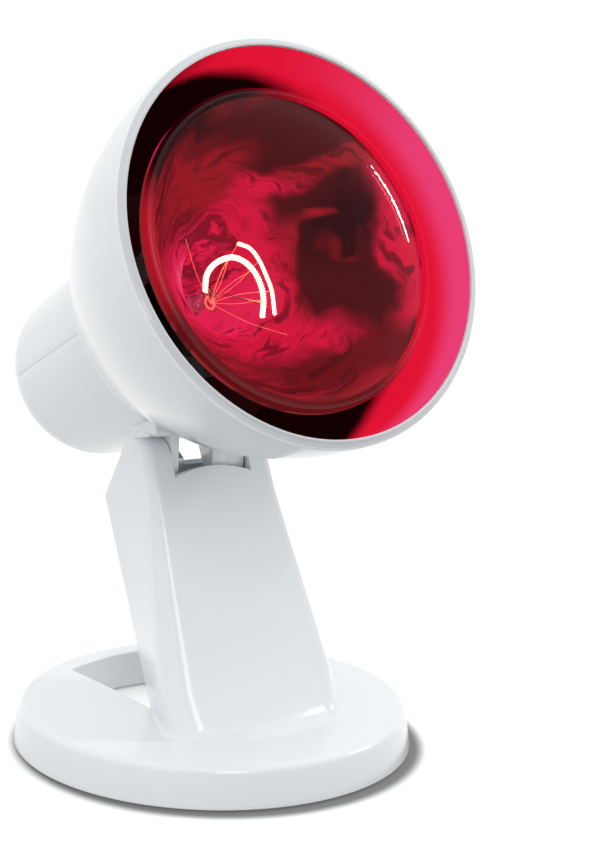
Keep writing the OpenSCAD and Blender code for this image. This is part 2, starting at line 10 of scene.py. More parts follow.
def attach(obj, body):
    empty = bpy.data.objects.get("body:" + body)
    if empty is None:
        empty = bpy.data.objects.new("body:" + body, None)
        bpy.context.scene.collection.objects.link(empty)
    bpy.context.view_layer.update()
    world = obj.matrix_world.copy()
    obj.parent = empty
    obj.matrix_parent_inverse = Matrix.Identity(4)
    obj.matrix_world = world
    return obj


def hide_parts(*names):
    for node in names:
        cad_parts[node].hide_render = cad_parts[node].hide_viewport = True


print("reading the frame")
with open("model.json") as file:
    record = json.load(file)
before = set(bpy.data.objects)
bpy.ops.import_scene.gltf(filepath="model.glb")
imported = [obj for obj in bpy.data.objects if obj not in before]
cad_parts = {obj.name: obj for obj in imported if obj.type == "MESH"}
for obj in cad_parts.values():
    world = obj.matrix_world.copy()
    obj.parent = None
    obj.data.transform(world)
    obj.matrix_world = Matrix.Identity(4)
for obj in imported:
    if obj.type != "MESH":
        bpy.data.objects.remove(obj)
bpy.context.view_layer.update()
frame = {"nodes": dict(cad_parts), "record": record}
nodes = frame["nodes"]
mm = 0.001

# the head's own space: x sideways, y up, z along the light, with the rim at 0
headTilt = 23.45
rimCentre = Vector((0, -51.7, 201.1)) * mm
headSpace = Matrix.Translation(rimCentre) @ Matrix.Rotation(math.radians(90 - headTilt), 4, "X")
pivot = (18.0, 108.0)  # y and z of the tilt axis, in mm


# small tools for meshes

def rowFaces(rows, closed=False):
    # joins rows of vertex numbers; a row of one vertex closes to a point
    faces = []
    pairs = list(zip(rows, rows[1:])) + ([(rows[-1], rows[0])] if closed else [])
    for a, b in pairs:
        n = max(len(a), len(b))
        for k in range(n):
            k2 = (k + 1) % n
            corners = [a[k % len(a)], a[k2 % len(a)], b[k2 % len(b)], b[k % len(b)]]
            corners = list(dict.fromkeys(corners))
            if len(corners) > 2:
                faces.append(corners)
    return faces


def revolved(profile, count, closed=True):
    # turns (radius, height) points in mm about z
    points, rows = [], []
    for r, z in profile:
        n = 1 if abs(r) < 1e-6 else count
        rows.append(list(range(len(points), len(points) + n)))
        for k in range(n):
            a = 2 * math.pi * k / count
            points.append((r * math.cos(a) * mm, r * math.sin(a) * mm, z * mm))
    return points, rowFaces(rows, closed)


def stacked(loops):
    # skins equal loops of 3-D points in mm and closes both ends
    points, rows = [], []
    for loop in loops:
        rows.append(list(range(len(points), len(points) + len(loop))))
        points += [tuple(c * mm for c in p) for p in loop]
    return points, rowFaces(rows) + [rows[0][::-1], rows[-1]]


def tidyMesh(mesh, sharp, turnOut=True):
    # welds, turns the faces outwards and shades smoothly up to the sharp angle in degrees
    bm = bmesh.new()
    bm.from_mesh(mesh)
    bmesh.ops.remove_doubles(bm, verts=bm.verts, dist=1e-7)
    if turnOut:
        bmesh.ops.recalc_face_normals(bm, faces=bm.faces)
    bm.to_mesh(mesh)
    bm.free()
    mesh.shade_smooth()
    mesh.set_sharp_from_angle(angle=math.radians(sharp))


def newPiece(name, points, faces, space=None, sharp=35):
    mesh = bpy.data.meshes.new(name)
    mesh.from_pydata([tuple(p) for p in points], [], faces)
    tidyMesh(mesh, sharp)
    piece = bpy.data.objects.new(name, mesh)
    bpy.context.scene.collection.objects.link(piece)
    if space is not None:
        piece.matrix_world = space
    return piece


def carve(piece, tool):
    # cuts the tool out of the piece and deletes the tool
    step = piece.modifiers.new("cut", "BOOLEAN")
    step.object, step.operation, step.solver = tool, "DIFFERENCE", "MANIFOLD"
    bpy.context.view_layer.update()
    mesh = bpy.data.meshes.new_from_object(piece.evaluated_get(bpy.context.evaluated_depsgraph_get()))
    piece.modifiers.clear()
    piece.data = mesh
    tidyMesh(mesh, 35, turnOut=False)
    bpy.data.objects.remove(tool)


def prism(name, outline, x0, x1):
    # a block along x with a (y, z) outline
    loops = [[(x, y, z) for y, z in outline] for x in (x0, x1)]
    return newPiece(name, *stacked(loops))


def pivotBar(name, x0, x1, radius, count=96):
    # a round bar along the tilt axis
    outline = [(pivot[0] + radius * math.cos(2 * math.pi * k / count),
                pivot[1] + radius * math.sin(2 * math.pi * k / count)) for k in range(count)]
    return prism(name, outline, x0, x1)


def softened(piece, width, segments=2):
    # rounds the sharp edges
    bm = bmesh.new()
    bm.from_mesh(piece.data)
    edges = [e for e in bm.edges if len(e.link_faces) == 2 and e.calc_face_angle(0) > math.radians(40)]
    bmesh.ops.bevel(bm, geom=edges, offset=width * mm, segments=segments, profile=0.5,
                    affect="EDGES", clamp_overlap=True)
    bm.to_mesh(piece.data)
    bm.free()
    tidyMesh(piece.data, 30)


def tube(name, route, radius, count):
    # a round wire in the head, along a list of points in mm
    route = [Vector(p) for p in route]
    side = Vector((0.31, 0.2, 0.93))  # a first direction that no wire follows
    loops = []
    for i, p in enumerate(route):
        along = (route[min(i + 1, len(route) - 1)] - route[max(i - 1, 0)]).normalized()
        u = (side - along * side.dot(along)).normalized()
        v = along.cross(u)
        side = u
        loops.append([p + radius * (math.cos(a) * u + math.sin(a) * v)
                      for a in (2 * math.pi * k / count for k in range(count))])
    return newPiece(name, *stacked(loops), space=headSpace)


def finished(piece, finish, body, replaced):
    # gives a piece its material when it has none, joins it to its body and hides the CAD nodes that it stands
    # for
    if not any(piece.data.materials):
        piece.data.materials.clear()  # a cut can leave an empty slot
        piece.data.materials.append(finish)
    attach(piece, body)
    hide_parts(*replaced)
    return piece


# small tools for materials

class Wire:
    # a socket that takes part in sums
    def __init__(self, nodes, socket):
        self.nodes = nodes
        self.socket = socket

    def calc(self, operation, *values):
        return self.nodes.add("ShaderNodeMath", {"operation": operation}, dict(enumerate(values)))

    def __add__(self, other):
        return self.calc("ADD", self, other)

    def __radd__(self, other):
        return self.calc("ADD", other, self)

    def __sub__(self, other):
        return self.calc("SUBTRACT", self, other)

    def __rsub__(self, other):
        return self.calc("SUBTRACT", other, self)

    def __mul__(self, other):
        return self.calc("MULTIPLY", self, other)

    def __rmul__(self, other):
        return self.calc("MULTIPLY", other, self)

    def __truediv__(self, other):
        return self.calc("DIVIDE", self, other)

    def __rtruediv__(self, other):
        return self.calc("DIVIDE", other, self)

    def __pow__(self, other):
        return self.calc("POWER", self, other)

    def __rpow__(self, other):
        return self.calc("POWER", other, self)


class Nodes:
    # adds nodes to one tree
    def __init__(self, tree):
        self.tree = tree

    def feed(self, socket, value):
        if isinstance(value, Wire):
            self.tree.links.new(value.socket, socket)
        else:
            socket.default_value = value

    def add(self, kind, settings=None, sockets=None, out=0):
        node = self.tree.nodes.new(kind)
        for key, value in (settings or {}).items():
            setattr(node, key, value)
        for key, value in (sockets or {}).items():
            self.feed(node.inputs[key], value)
        return Wire(self, node.outputs[out])

    def axes(self, vector):
        split = self.add("ShaderNodeSeparateXYZ", None, {0: vector})
        return [Wire(self, output) for output in split.socket.node.outputs]

    def remap(self, value, low, high, toLow=0.0, toHigh=1.0):
        return self.add("ShaderNodeMapRange", {"interpolation_type": "SMOOTHSTEP"},
                        {0: value, 1: low, 2: high, 3: toLow, 4: toHigh})


class Finish(Nodes):
    # a material's nodes
    def __init__(self, name):
        self.material = bpy.data.materials.new(name)
        self.material.use_nodes = True
        super().__init__(self.material.node_tree)
        self.tree.nodes.clear()
        self.output = self.tree.nodes.new("ShaderNodeOutputMaterial")

    def place(self):
        return self.add("ShaderNodeTexCoord", out="Object")

    def noise(self, scale, detail=3, roughness=0.5, vector=None, distortion=0.0):
        return self.add("ShaderNodeTexNoise", None, {
            "Vector": vector or self.place(), "Scale": scale, "Detail": detail,
            "Roughness": roughness, "Distortion": distortion})

    def mix(self, share, a, b):
        return self.add("ShaderNodeMix", {"data_type": "RGBA"}, {0: share, 6: opaque(a), 7: opaque(b)}, out=2)

    def bump(self, height, strength, distance):
        sockets = {"Strength": strength, "Distance": distance, "Height": height}
        return self.add("ShaderNodeBump", None, sockets)

    def shader(self, **sockets):
        names = {"colour": "Base Color", "rough": "Roughness", "metal": "Metallic", "coat": "Coat Weight",
                 "coatRough": "Coat Roughness", "glow": "Emission Color", "glowStrength": "Emission Strength",
                 "normal": "Normal", "clear": "Transmission Weight", "ior": "IOR", "tint": "Specular Tint",
                 "specular": "Specular IOR Level"}
        return self.add("ShaderNodeBsdfPrincipled", None, {names[k]: opaque(v) for k, v in sockets.items()})

    def done(self, surface):
        self.tree.links.new(surface.socket, self.output.inputs["Surface"])
        return self.material


def opaque(value):
    # a colour gets its fourth number, and anything else stays
    return (*value, 1) if isinstance(value, tuple) and len(value) == 3 else value


whitePlastic = {"colour": (0.775, 0.81, 0.835), "shadeColour": (0.75, 0.785, 0.81), "rough": 0.22,
                "coat": 0.6, "cloud": 22, "grain": 2600, "grainDepth": 0.012, "waves": 160}


def mouldedWhite(name="whiteMoulding", paintedShadeFactor=1.0):
    f = Finish(name)
    # a factor under 1 makes a darker copy of the white: painted shade
    shadeColour = tuple(c * paintedShadeFactor for c in whitePlastic["shadeColour"])
    colour = tuple(c * paintedShadeFactor for c in whitePlastic["colour"])
    cloud = f.noise(whitePlastic["cloud"], 2)
    waves = f.noise(whitePlastic["waves"], 1)
    grain = f.noise(whitePlastic["grain"], 2)
    bump = f.bump(grain, whitePlastic["grainDepth"], 0.0002)
    return f.done(f.shader(
        colour=f.mix(cloud, shadeColour, colour),
        rough=whitePlastic["rough"] + 0.06 * (waves - 0.5) + 0.05 * (grain - 0.5),
        coat=whitePlastic["coat"], coatRough=0.08, normal=bump))


def plainFinish(name, colour, rough, metal=0.0, grainScale=900, grainDepth=0.05, spread=0.12, **extra):
    # one look for the small parts: a slightly uneven colour, uneven gloss and a fine grain
    f = Finish(name)
    cloud = f.noise(180, 3)
    grain = f.noise(grainScale, 3)
    darker = tuple(c * (1 - spread) for c in colour)
    return f.done(f.shader(colour=f.mix(cloud, darker, colour), metal=metal,
                           rough=rough + 0.12 * (cloud - 0.5) + 0.08 * (grain - 0.5),
                           normal=f.bump(grain, grainDepth, 0.0003), **extra))


def brushedFinish(name, colour, rough):
    f = Finish(name)
    stretched = f.add("ShaderNodeVectorMath", {"operation": "MULTIPLY"}, {0: f.place(), 1: (300, 6000, 6000)})
    lines = f.noise(1, 2, vector=stretched)
    cloud = f.noise(120, 2)
    return f.done(f.shader(colour=f.mix(cloud, tuple(c * 0.86 for c in colour), colour), metal=1.0,
                           rough=rough + 0.2 * (lines - 0.5), normal=f.bump(lines, 0.06, 0.0001)))


white = mouldedWhite()

print("base")
base = {"radius": 78, "height": 16, "gap": 1, "draft": 2.2, "round": 3, "wall": 2.5,
        "openingBack": 65.5, "openingFront": 1.4, "halfFront": 28.4, "halfBack": 31.9, "halfMiddle": 29.0,
        "middle": 26.0, "edge": 0.8, "rings": 256, "holePoints": 220}


def openingLoop(grow, z):
    # the opening behind the column, grown outwards, as a loop of points
    b = base
    front = b["openingFront"] - grow
    backRadius = b["openingBack"] + grow
    half = b["halfBack"] + grow
    start = math.atan2(math.sqrt(backRadius ** 2 - half ** 2), half)
    arc = [(backRadius * math.cos(a), backRadius * math.sin(a))
           for a in np.linspace(start, math.pi - start, 60)]
    outline = [(b["halfFront"] + grow, front), (b["halfMiddle"] + grow, b["middle"]), *arc,
               (-b["halfMiddle"] - grow, b["middle"]), (-b["halfFront"] - grow, front)]
    points = []
    for a, c in zip(outline, outline[1:] + outline[:1]):
        n = max(1, int(math.dist(a, c) / 3))
        points += [(a[0] + (c[0] - a[0]) * k / n, a[1] + (c[1] - a[1]) * k / n, z) for k in range(n)]
    return evenLoop(points, b["holePoints"])


def evenLoop(points, count):
    # the same number of points on each loop, so that loops can be skinned
    flat = np.array(points + points[:1])
    steps = np.r_[0, np.cumsum(np.linalg.norm(np.diff(flat, axis=0), axis=1))]
    return [tuple(np.interp(s, steps, flat[:, k]) for k in range(3))
            for s in np.linspace(0, steps[-1], count, endpoint=False)]


def circleLoop(radius, z):
    # one ring of the base's outside
    return [(radius * math.cos(a), radius * math.sin(a), z)
            for a in (2 * math.pi * k / base["rings"] for k in range(base["rings"]))]


def nextPairs(count):
    return [(k, (k + 1) % count) for k in range(count)]


def buildBase():
    b = base
    radius, top, low, rounding, edge = b["radius"], b["height"], b["gap"], b["round"], b["edge"]
    ceiling = top - b["wall"]
    crown = radius - b["draft"] - rounding
    outer = [circleLoop(crown - step, top) for step in (1.2, 0.5)]  # these hold the top flat
    outer += [circleLoop(crown + rounding * math.sin(a), top - rounding + rounding * math.cos(a))
              for a in np.linspace(0, math.pi / 2, 9)]
    outer += [circleLoop(radius - step, low + rise) for step, rise in ((0.15, 0.6), (0.2, 0.3), (0.6, 0))]
    outer += [circleLoop(radius - b["wall"], low), circleLoop(radius - b["wall"] - b["draft"], ceiling)]
    hole = [openingLoop(edge + step, top) for step in (1, 0.4)]
    hole += [openingLoop(edge * (1 - math.sin(a)), top - edge * (1 - math.cos(a)))
             for a in np.linspace(0, math.pi / 2, 6)]
    hole += [openingLoop(0, low + 0.4), openingLoop(0.4, low), openingLoop(b["wall"], low),
             openingLoop(b["wall"], ceiling)]
    bm = bmesh.new()
    ends = ([], [])  # the edges that bound the top and the ceiling
    for loops in (outer, hole):
        made = [[bm.verts.new([c * mm for c in p]) for p in loop] for loop in loops]
        for a, c in zip(made, made[1:]):
            for k, k2 in nextPairs(len(a)):
                bm.faces.new((a[k], a[k2], c[k2], c[k]))
        for end, loop in zip(ends, (made[0], made[-1])):
            end += [bm.edges.get((loop[k], loop[k2])) for k, k2 in nextPairs(len(loop))]
    for end in ends:
        bmesh.ops.triangle_fill(bm, edges=end, use_beauty=True)
    mesh = bpy.data.meshes.new("baseRing")
    bm.to_mesh(mesh)
    bm.free()
    tidyMesh(mesh, 35)
    piece = bpy.data.objects.new("baseRing", mesh)
    bpy.context.scene.collection.objects.link(piece)
    return piece


baseRing = finished(buildBase(), white, "stand", ["stand_shell"])

print("column")
column = {"frontFoot": (-44.0, 16.0), "frontTop": (5.0, 105.0), "rearFoot": (1.4, 16.0),
          "rearTop": (40.0, 92.0), "chamferTop": (28.3, 111.2), "earRadius": 11,
          "halfTop": 28.5, "halfFoot": 37.8, "halfRear": 28.4, "bulge": 7.0,
          "cornerFoot": 13.5, "cornerTop": 4.2, "rearCorner": 0.7, "wall": 3.0,
          "fillet": 6.0, "filletSide": 0.3, "filletFade": 22, "filletEnd": 14, "sunk": 1.4,
          "earGap": 17.5, "earFront": 175, "earLead": 0.25, "earChamfer": 0.6, "saddleRadius": 10.4,
          "archRise": 3.0, "archSkin": 2.9, "archSlope": 0.3714, "recessHalf": 25.95}


def ramped(v, ease=0.16):
    # rises in a straight line after a soft start, up to 1
    v = min(max(v, 0), 1)
    low = v * v / (2 * ease) if v < ease else v - ease / 2
    return low / (1 - ease / 2)


def between(a, b, share):
    return tuple(p + (q - p) * share for p, q in zip(a, b))


def aroundPivot(radius, angle):
    return (pivot[0] + radius * math.cos(angle), pivot[1] + radius * math.sin(angle))


def sideLines(v):
    # front and rear points of the side view: 0 foot, 1 slanted shoulder line, 2 top of the ears
    c = column
    if v <= 1:
        return between(c["frontFoot"], c["frontTop"], v), between(c["rearFoot"], c["rearTop"], v)
    w = v - 1
    lead, chamfer = c["earLead"], c["earChamfer"]
    earStart = math.radians(c["earFront"])
    if w < lead:
        front = between(c["frontTop"], aroundPivot(c["earRadius"], earStart), w / lead)
    else:
        turned = earStart - (earStart - math.pi / 2) * (w - lead) / (1 - lead)
        front = aroundPivot(c["earRadius"], turned)
    if w < chamfer:
        rear = between(c["rearTop"], c["chamferTop"], w / chamfer)
    else:
        share = (w - chamfer) / (1 - chamfer)
        start = math.atan2(c["chamferTop"][1] - pivot[1], c["chamferTop"][0] - pivot[0])
        reach = math.dist(c["chamferTop"], pivot)
        rear = aroundPivot(reach + (c["earRadius"] - reach) * share, start + (math.pi / 2 - start) * share)
    return front, rear


def halfSection(v, inset):
    # half of the column's cross-section as (x, distance behind the front line)
    c = column
    deep = math.dist(*sideLines(v)) - inset * 0.6
    down = max(0.0, 1 - v)
    half = c["halfTop"] + (c["halfFoot"] - c["halfTop"]) * ramped(down * 1.22) - inset
    halfRear = c["halfRear"] - inset
    bulge = c["bulge"] * down
    corner = c["cornerTop"] + (c["cornerFoot"] - c["cornerTop"]) * down ** 1.2
    corner = max(0.05, min(corner - inset * 0.6, deep / 2.3))
    cornerX = half - corner
    lean = math.atan(2 * bulge * cornerX / half ** 2)  # the front's slope where the corner starts
    cornerS = bulge * (cornerX / half) ** 2 + inset + corner * math.cos(lean)
    points = [(x, bulge * (x / half) ** 2 + inset)
              for x in np.linspace(0, cornerX + corner * math.sin(lean), 18)[:-1]]
    turn = math.atan2(half - halfRear, max(deep - cornerS, 1))
    points += [(cornerX + corner * math.cos(a), cornerS + corner * math.sin(a))
               for a in np.linspace(-math.pi / 2 + lean, turn, 13)]
    rearCorner = min(c["rearCorner"], deep / 2.3)
    start, end = points[-1], (halfRear, deep - rearCorner)
    points += [between(start, end, k / 14) for k in range(1, 14)]
    cornerX, cornerS = halfRear - rearCorner, deep - rearCorner
    points += [(cornerX + rearCorner * math.cos(a), cornerS + rearCorner * math.sin(a))
               for a in np.linspace(0, math.pi / 2, 5)]
    points += [(x, deep) for x in np.linspace(cornerX, 0, 5)[1:]]
    return points


def filletReach(s, deep):
    # full at the front, less along the sides, nothing at the rear
    c = column
    if s > deep - 0.2:
        return 0
    front = c["filletSide"] + (1 - c["filletSide"]) * max(0.0, 1 - s / c["filletFade"])
    return c["fillet"] * front * min(1, max(0.0, (deep - s) / c["filletEnd"])) ** 0.8


def columnLoop(v, inset=0.0, spread=0.0, lift=0.0):
    # a whole cross-section in space; spread and lift flare it into the fillet at the foot
    front, rear = sideLines(v)
    deep = max(math.dist(front, rear), 1e-6)
    along = ((rear[0] - front[0]) / deep, (rear[1] - front[1]) / deep)
    half = halfSection(v, inset)
    flat = half + [(-x, s) for x, s in half[-2:0:-1]]
    loop = []
    for k, (x, s) in enumerate(flat):
        before, after = flat[k - 1], flat[(k + 1) % len(flat)]
        nx, ns = after[1] - before[1], before[0] - after[0]
        size = math.hypot(nx, ns) or 1
        reach = filletReach(s, deep)
        x, s = x + nx / size * reach * spread, s + ns / size * reach * spread
        loop.append((x, front[0] + along[0] * s + reach * lift * 0.5, front[1] + along[1] * s + reach * lift))
    return loop


def buildColumn():
    c = column
    foot, top = c["frontFoot"][1], 140  # the tools end well above the ears
    flared = columnLoop(0, spread=1)
    loops = [[(x, y, height) for x, y, z in flared] for height in (foot - c["sunk"], foot + 0.006)]
    loops += [columnLoop(0, spread=1 - math.sin(a), lift=1 - math.cos(a))
              for a in np.linspace(0, math.pi / 2, 8)[1:]]
    loops += [columnLoop(v, lift=max(0.0, 1 - v / 0.2) ** 2) for v in np.linspace(0, 1, 25)[1:]]
    loops += [columnLoop(v) for v in np.linspace(1, 1.985, 26)[1:]]
    body = newPiece("columnShell", *stacked(loops))
    hollow = [columnLoop(v, inset=c["wall"]) for v in np.linspace(0.0, 0.93, 12)]
    hollow[0] = [(x, y, foot + 0.5) for x, y, z in hollow[0]]
    carve(body, newPiece("hollow", *stacked(hollow)))
    gap = c["earGap"]
    yf, zf = c["frontTop"]
    inner = yf + c["archSkin"]  # behind this skin, the gap between the ears goes deeper
    behind = [(y, zf - c["archSlope"] * (y - yf)) for y in (inner, 60)] + [(60, top), (inner + 19, top)]
    carve(body, prism("behindArch", behind, -gap, gap))
    arch = [(x, zf + c["archRise"] * (1 - (x / gap) ** 2)) for x in np.linspace(-gap, gap, 25)]
    arch += [(gap, top), (-gap, top)]
    carve(body, newPiece("archCut", *stacked([[(x, y, z) for x, z in arch] for y in (-6, 30)])))
    carve(body, pivotBar("saddle", -gap, gap, c["saddleRadius"]))
    fy, fz = c["rearFoot"]  # the rear is open to a depth of 4, where the cover sits
    ry, rz = c["rearTop"]
    lean = Vector((ry - fy, rz - fz)).normalized()
    inward = Vector((-lean[1], lean[0])) * 4
    recess = [(fy, fz - 3), (fy + 20, fz - 3), (ry + 20, rz), (ry + 20, rz + 30), (ry - 14, rz + 18),
              (ry + inward[0], rz + inward[1] * 0.3), (fy + inward[0], fz - 3)]
    carve(body, prism("recess", recess, -c["recessHalf"], c["recessHalf"]))
    return body


columnShell = finished(buildColumn(), white, "stand", ["stand_shell"])

print("shade")
# the shade's red, pink and rim glow colours are the lamp's light painted on the inner wall; unlit is painted
# shade there
shade = {"radius": 76.2, "curve": 0.0035, "depth": 87, "wall": 1.8, "lip": 1.0, "band": 2.4, "rearRound": 2.5,
         "flatten": 0.86, "opening": 28.5, "paintedLightRed": (0.75, 0.006, 0.032), "paintedLightPink": (0.80, 0.047, 0.175),
         "paintedLightRim": (0.45, 0.005, 0.02), "unlit": (0.004, 0.0, 0.0), "rimPaintedShade": 0.76}


def shadeRadius(t):
    return shade["radius"] - shade["curve"] * t * t


def buildShade():
    s = shade
    radius, deep, rear, wall = s["radius"], s["depth"], s["rearRound"], s["wall"]
    lipInner = radius - s["lip"] - s["band"]
    lipOuter = lipInner + s["lip"]
    rim = [(lipInner, 1.4), (lipInner, 0.25), (lipInner + 0.25, 0), (lipOuter - 0.25, 0), (lipOuter, 0.2),
           (lipOuter + 0.2, 0.9), (lipOuter + 0.4, 1.05), (radius - 0.6, 1.65), (radius - 0.2, 1.95),
           (radius - 0.02, 2.5)]  # the lip, the groove beside it and the band
    outside = [(shadeRadius(t), t) for t in np.linspace(3.2, deep - rear, 44)]
    end = shadeRadius(deep - rear) - rear * s["flatten"]
    corner = [(end + rear * math.cos(a) * s["flatten"], deep - rear + rear * math.sin(a))
              for a in np.linspace(0.15, math.pi / 2, 7)]
    back = [(36, deep), (s["opening"], deep), (s["opening"], deep - wall)]
    inside = [(shadeRadius(t) - wall, t) for t in np.linspace(deep - wall, 3, 44)]
    profile = [(r, -t) for r, t in rim + outside + corner + back + inside]
    return newPiece("shadeBell", *revolved(profile, 224), space=headSpace, sharp=38)


shadeBell = buildShade()


def paintedLightOnShadeInside():
    # the inner wall has the lamp's light painted on it as a red and pink glow near the rim, and painted shade
    # behind the lamp over a near-black base colour
    f = Finish("shadeInsidePaintedLight")
    x, y, z = f.axes(f.place())
    behindRim = -1000 * z
    cloud = f.noise(40, 2)
    side = f.remap(x, 0.005, 0.05) * (1 - 0.6 * f.remap(y, 0.035, 0.07))
    near = 1 - f.remap(behindRim + 5 * (cloud - 0.5) - 16 * side, 18, 29)
    pink = (1 - f.remap(behindRim, 10, 24)) * side
    hue = f.mix(pink, shade["paintedLightRed"], shade["paintedLightPink"])
    glow = f.mix(near * f.remap(x + 0.25 * y, -0.03, 0.01), shade["unlit"], hue)
    glow = f.mix(f.remap(behindRim, 0.5, 4.5, 0.72, 1.0), shade["paintedLightRim"], glow)
    grain = f.noise(whitePlastic["grain"], 2)
    return f.done(f.shader(colour=(0.02, 0.004, 0.006), rough=0.35 + 0.1 * (grain - 0.5), specular=0.15,
                           glow=glow, glowStrength=1.0,
                           normal=f.bump(grain, whitePlastic["grainDepth"], 0.0002)))


shadeBell.data.materials.append(white)
shadeBell.data.materials.append(paintedLightOnShadeInside())
# the rim's band gets a darker copy of the white: painted shade
shadeBell.data.materials.append(mouldedWhite("rimBand", shade["rimPaintedShade"]))
for face in shadeBell.data.polygons:
    c = face.center
    t, r = -c.z / mm, math.hypot(c.x, c.y) / mm
    if t > 1.9 and r < shadeRadius(t) - 1.2 and face.normal.z > -0.5:  # the inside, without the back wall
        face.material_index = 1
    elif t < 1.5 and r > shade["radius"] - shade["lip"] - shade["band"] + 0.2:
        face.material_index = 2
finished(shadeBell, white, "head", ["shade"])

print("housing")
housing = {"start": 87.05, "end": 171, "drop": -6, "side": 5.8, "front": 41, "back": 36, "round": 17,
           "wall": 2.5, "gap": 0.12, "seamRound": 0.3, "slots": 7, "slotPitch": 6, "slotWidth": 2.6,
           "slotsUpper": (4, 21), "slotsLower": (-22, -5), "slotDepth": 7}


def drumProfile(inset):
    # (radius, distance behind the rim) from the shade to the middle of the end
    h = housing
    front, back, end, rounding = h["front"] - inset, h["back"] - inset, h["end"] - inset, h["round"] - inset
    first, last = (front - 0.02, h["start"] + 0.6), (back, end - rounding)
    points = [(front, h["start"]), first]
    points += [between(first, last, k / 12) for k in range(1, 12)]
    points += [(back - rounding + rounding * math.cos(a), end - rounding + rounding * math.sin(a))
               for a in np.linspace(0, math.pi / 2, 12)]
    return points + [((back - rounding) * share, end) for share in (0.7, 0.4, 0.15, 0)]


def drumPoint(r, angle, t):
    # the drum is a circle pulled apart sideways
    x, y = r * math.cos(angle), r * math.sin(angle)
    if abs(x) > 1e-9:
        x += math.copysign(housing["side"], x) * min(1, abs(x) / 1.5)
    return (x, y + housing["drop"], -t)


def halfDrum(name, side):
    # one half of the housing, with a rounded edge along the seam
    h = housing
    edge = h["seamRound"]
    outer = drumProfile(0)
    chain = outer + drumProfile(h["wall"])[::-1]
    angles = np.linspace(0, math.pi, 61)
    points, rows = [], []
    for i, (r, t) in enumerate(chain):
        rows.append(list(range(len(points), len(points) + len(angles))))
        for angle in angles:
            p = Vector(drumPoint(r, angle, t))
            height = p.y - h["drop"]
            if i < len(outer) and height < edge and r > 20:
                fall = 1 - height / edge
                p.x -= math.copysign(edge * (1 - math.sqrt(max(0.0, 1 - fall * fall))), p.x)
            p.y = h["drop"] + side * max(height, 0) + side * h["gap"] / 2
            points.append(tuple(c * mm for c in p))
    faces = []
    for a, b in zip(rows, rows[1:] + rows[:1]):
        faces += [[a[k], a[k + 1], b[k + 1], b[k]] for k in range(len(a) - 1)]
    for k in range(len(outer) - 1):
        faces += [[rows[k][end], rows[k + 1][end], rows[-2 - k][end], rows[-1 - k][end]] for end in (0, -1)]
    return newPiece(name, points, faces, space=headSpace)


def ventCut(piece, low, high):
    # a row of upright slots through the housing's end
    h = housing
    r = h["slotWidth"] / 2
    for k in range(h["slots"]):
        x = (k - (h["slots"] - 1) / 2) * h["slotPitch"]
        outline = [(x + r * math.cos(a), h["drop"] + middle + r * math.sin(a))
                   for middle, start in ((high - r, 0), (low + r, math.pi))
                   for a in np.linspace(start, start + math.pi, 9)]
        loops = [[(px, py, z) for px, py in outline] for z in (-h["end"] - 4, -h["end"] + h["slotDepth"])]
        carve(piece, newPiece("slot", *stacked(loops), space=headSpace))
    return piece


upper = ventCut(halfDrum("housingUpperShell", 1), *housing["slotsUpper"])
finished(upper, white, "head", ["housing_upper"])
lower = ventCut(halfDrum("housingLowerShell", -1), *housing["slotsLower"])
finished(lower, white, "head", ["housing_lower"])

print("yoke")  # plinth, lugs, hub and wire duct under the housing
yoke = {"plinthHalf": 24.0, "plinthLine": [(-8.5, 12.4), (12.5, 12.4), (14, 14), (14, 17.5), (-8.5, 24)],
        "ductLine": [(-8.5, -6.5), (-2.4, -3), (5, 11), (5, 22), (-8.5, 22)], "lugRadius": 8.5, "lugRise": 19,
        "lugOuter": 16.8, "lugThick": 3.5, "hubInner": 8.5, "ductInner": 2, "trunnionRadius": 6,
        "trunnionEnd": 23.2, "boreRadius": 3.6, "boreStart": 8.4, "plinthEdge": 1.8, "lugEdge": 0.35,
        "ductEdge": 0.3, "overlap": 1.2}


def fromPivot(line):
    return [(pivot[0] + y, pivot[1] + z) for y, z in line]


def lugOutline():
    r = yoke["lugRadius"]
    lowEnd = [aroundPivot(r, a) for a in np.linspace(math.pi, 2 * math.pi, 41)]
    return lowEnd + fromPivot([(r, yoke["lugRise"]), (-r, yoke["lugRise"])])


def drumTool():
    # what the parts under the housing must not enter: the drum, apart from a thin overlap with its wall
    chain = [(housing["front"], 20)] + drumProfile(0)[1:]
    loops = [[drumPoint(r - yoke["overlap"], a, t) for a in np.linspace(0, 2 * math.pi, 96, endpoint=False)]
             for r, t in chain]
    return newPiece("drumTool", *stacked(loops), space=headSpace)


def frontTool(size=120):
    # all that lies in front of the housing
    loops = [[(x, y, z) for x, y in ((-size, -size), (size, -size), (size, size), (-size, size))]
             for z in (-housing["start"], 40)]
    return newPiece("frontTool", *stacked(loops), space=headSpace)


def buildYoke():
    y = yoke
    outer, inner = y["lugOuter"], y["hubInner"]
    plinth = prism("plinth", fromPivot(y["plinthLine"]), -y["plinthHalf"], y["plinthHalf"])
    leftLug = prism("leftLug", lugOutline(), -outer, -outer + y["lugThick"])
    hub = prism("hub", lugOutline(), inner, outer)
    duct = prism("duct", fromPivot(y["ductLine"]), y["ductInner"], inner + 0.4)
    softened(plinth, y["plinthEdge"], 4)
    softened(leftLug, y["lugEdge"])
    softened(hub, y["lugEdge"])
    softened(duct, y["ductEdge"])
    made = [plinth, leftLug, hub, duct]
    for piece in made:
        carve(piece, drumTool())
        carve(piece, frontTool())
    trunnion = pivotBar("trunnion", outer - 1, y["trunnionEnd"], y["trunnionRadius"])
    for piece in (trunnion, hub):
        carve(piece, pivotBar("bore", y["boreStart"], y["trunnionEnd"] + 1, y["boreRadius"]))
    return made + [trunnion]


for piece in buildYoke():
    finished(piece, white, "head", ["housing_lower"])

